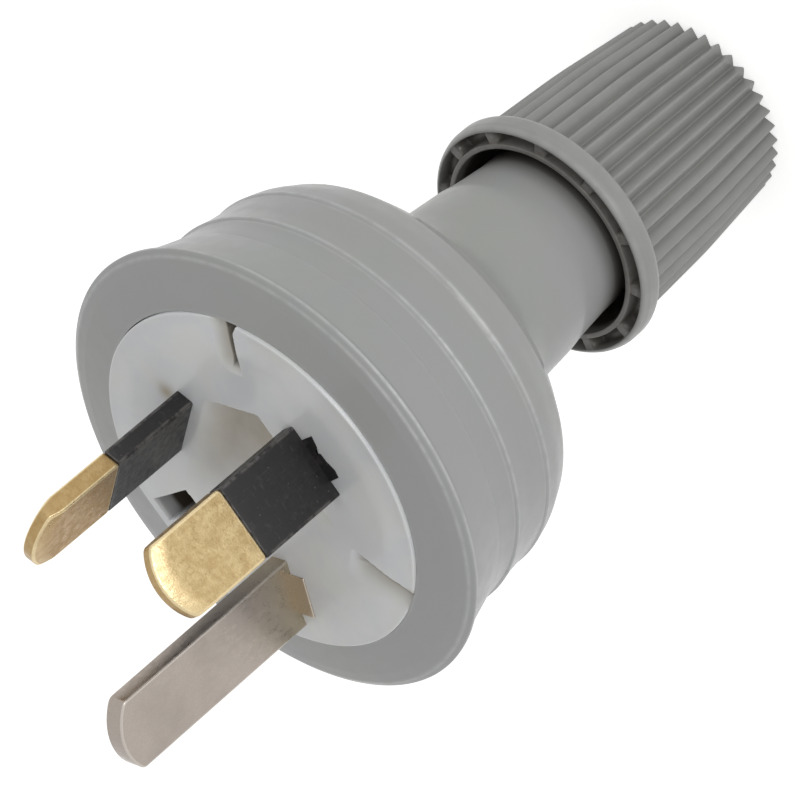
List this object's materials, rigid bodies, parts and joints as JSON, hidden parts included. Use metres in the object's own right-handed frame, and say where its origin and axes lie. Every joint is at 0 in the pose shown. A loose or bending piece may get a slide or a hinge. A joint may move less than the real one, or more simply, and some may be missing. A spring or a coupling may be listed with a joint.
{
  "type": "rewirable three-pin plug",
  "caption": "Rewirable flat-pin mains plug: a grey bell-shaped cover, a white pin face, insulated live pins, a longer earth pin and a ribbed cord-grip nut.",
  "frame": {"origin": "centre of the grip nut's flat rear end, on the plug's axis", "axes": "+Z along the plug's axis towards the pins, -Y towards the earth pin, +X towards the active pin's side"},
  "size_m": [0.0398, 0.0398, 0.0746],
  "materials": {
    "cover_pvc": "satin moulded",
    "nut_plastic": "satin moulded",
    "base_nylon": "satin, slightly translucent",
    "pin_insulation": "satin black",
    "pin_brass": "brushed, pitted",
    "earth_nickel": "dull nickel plating",
    "terminal_brass": "machined",
    "screw_steel": "zinc plated",
    "claw_nylon": "satin moulded",
    "seal_rubber": "matt",
    "ring_plastic": "satin moulded"
  },
  "bodies": {
    "housing": {"cover": "cover_pvc", "pin_base": "base_nylon", "active_pin": "pin_brass", "neutral_pin": "pin_brass", "earth_pin": "earth_nickel", "active_sleeve": "pin_insulation", "neutral_sleeve": "pin_insulation", "active_terminal": "terminal_brass", "neutral_terminal": "terminal_brass", "earth_terminal": "terminal_brass", "cord_claw": "claw_nylon", "cord_seal": "seal_rubber"},
    "squeeze_ring": {"slip_ring": "ring_plastic"},
    "grip_nut": {"cord_grip_nut": "nut_plastic"},
    "active_clamp": {"active_clamp_plate": "screw_steel"},
    "active_clamp_screw": {"active_screw": "screw_steel"},
    "neutral_clamp": {"neutral_clamp_plate": "screw_steel"},
    "neutral_clamp_screw": {"neutral_screw": "screw_steel"},
    "earth_clamp": {"earth_clamp_plate": "screw_steel"},
    "earth_clamp_screw": {"earth_screw": "screw_steel"}
  },
  "joints": [
    {"name": "nut_advance", "type": "slide", "parent": "housing", "child": "squeeze_ring", "axis": [0, 0, 1], "range_m": [-0.0036, 0.004]},
    {"name": "nut_turn", "type": "hinge", "parent": "squeeze_ring", "child": "grip_nut", "pos_m": [0, 0, 0], "axis": [0, 0, 1], "range_deg": [-864, 960]},
    {"name": "active_clamp_travel", "type": "slide", "parent": "housing", "child": "active_clamp", "axis": [0, 0, -1], "range_m": [0, 0.0015]},
    {"name": "active_screw_turn", "type": "hinge", "parent": "active_clamp", "child": "active_clamp_screw", "pos_m": [0.0098, 0.00566, 0.0436], "axis": [0, 0, -1], "range_deg": [0, 1080]},
    {"name": "neutral_clamp_travel", "type": "slide", "parent": "housing", "child": "neutral_clamp", "axis": [0, 0, -1], "range_m": [0, 0.0015]},
    {"name": "neutral_screw_turn", "type": "hinge", "parent": "neutral_clamp", "child": "neutral_clamp_screw", "pos_m": [-0.0098, 0.00566, 0.0436], "axis": [0, 0, -1], "range_deg": [0, 1080]},
    {"name": "earth_clamp_travel", "type": "slide", "parent": "housing", "child": "earth_clamp", "axis": [0, 0, -1], "range_m": [0, 0.0015]},
    {"name": "earth_screw_turn", "type": "hinge", "parent": "earth_clamp", "child": "earth_clamp_screw", "pos_m": [0.0034, -0.00911, 0.0436], "axis": [0, 0, -1], "range_deg": [0, 1080]}
  ],
  "couplings": [
    {"joint": "nut_turn", "follows": "nut_advance", "rad_per_m": 4188.8},
    {"joint": "active_screw_turn", "follows": "active_clamp_travel", "rad_per_m": 12566},
    {"joint": "neutral_screw_turn", "follows": "neutral_clamp_travel", "rad_per_m": 12566},
    {"joint": "earth_screw_turn", "follows": "earth_clamp_travel", "rad_per_m": 12566}
  ]
}
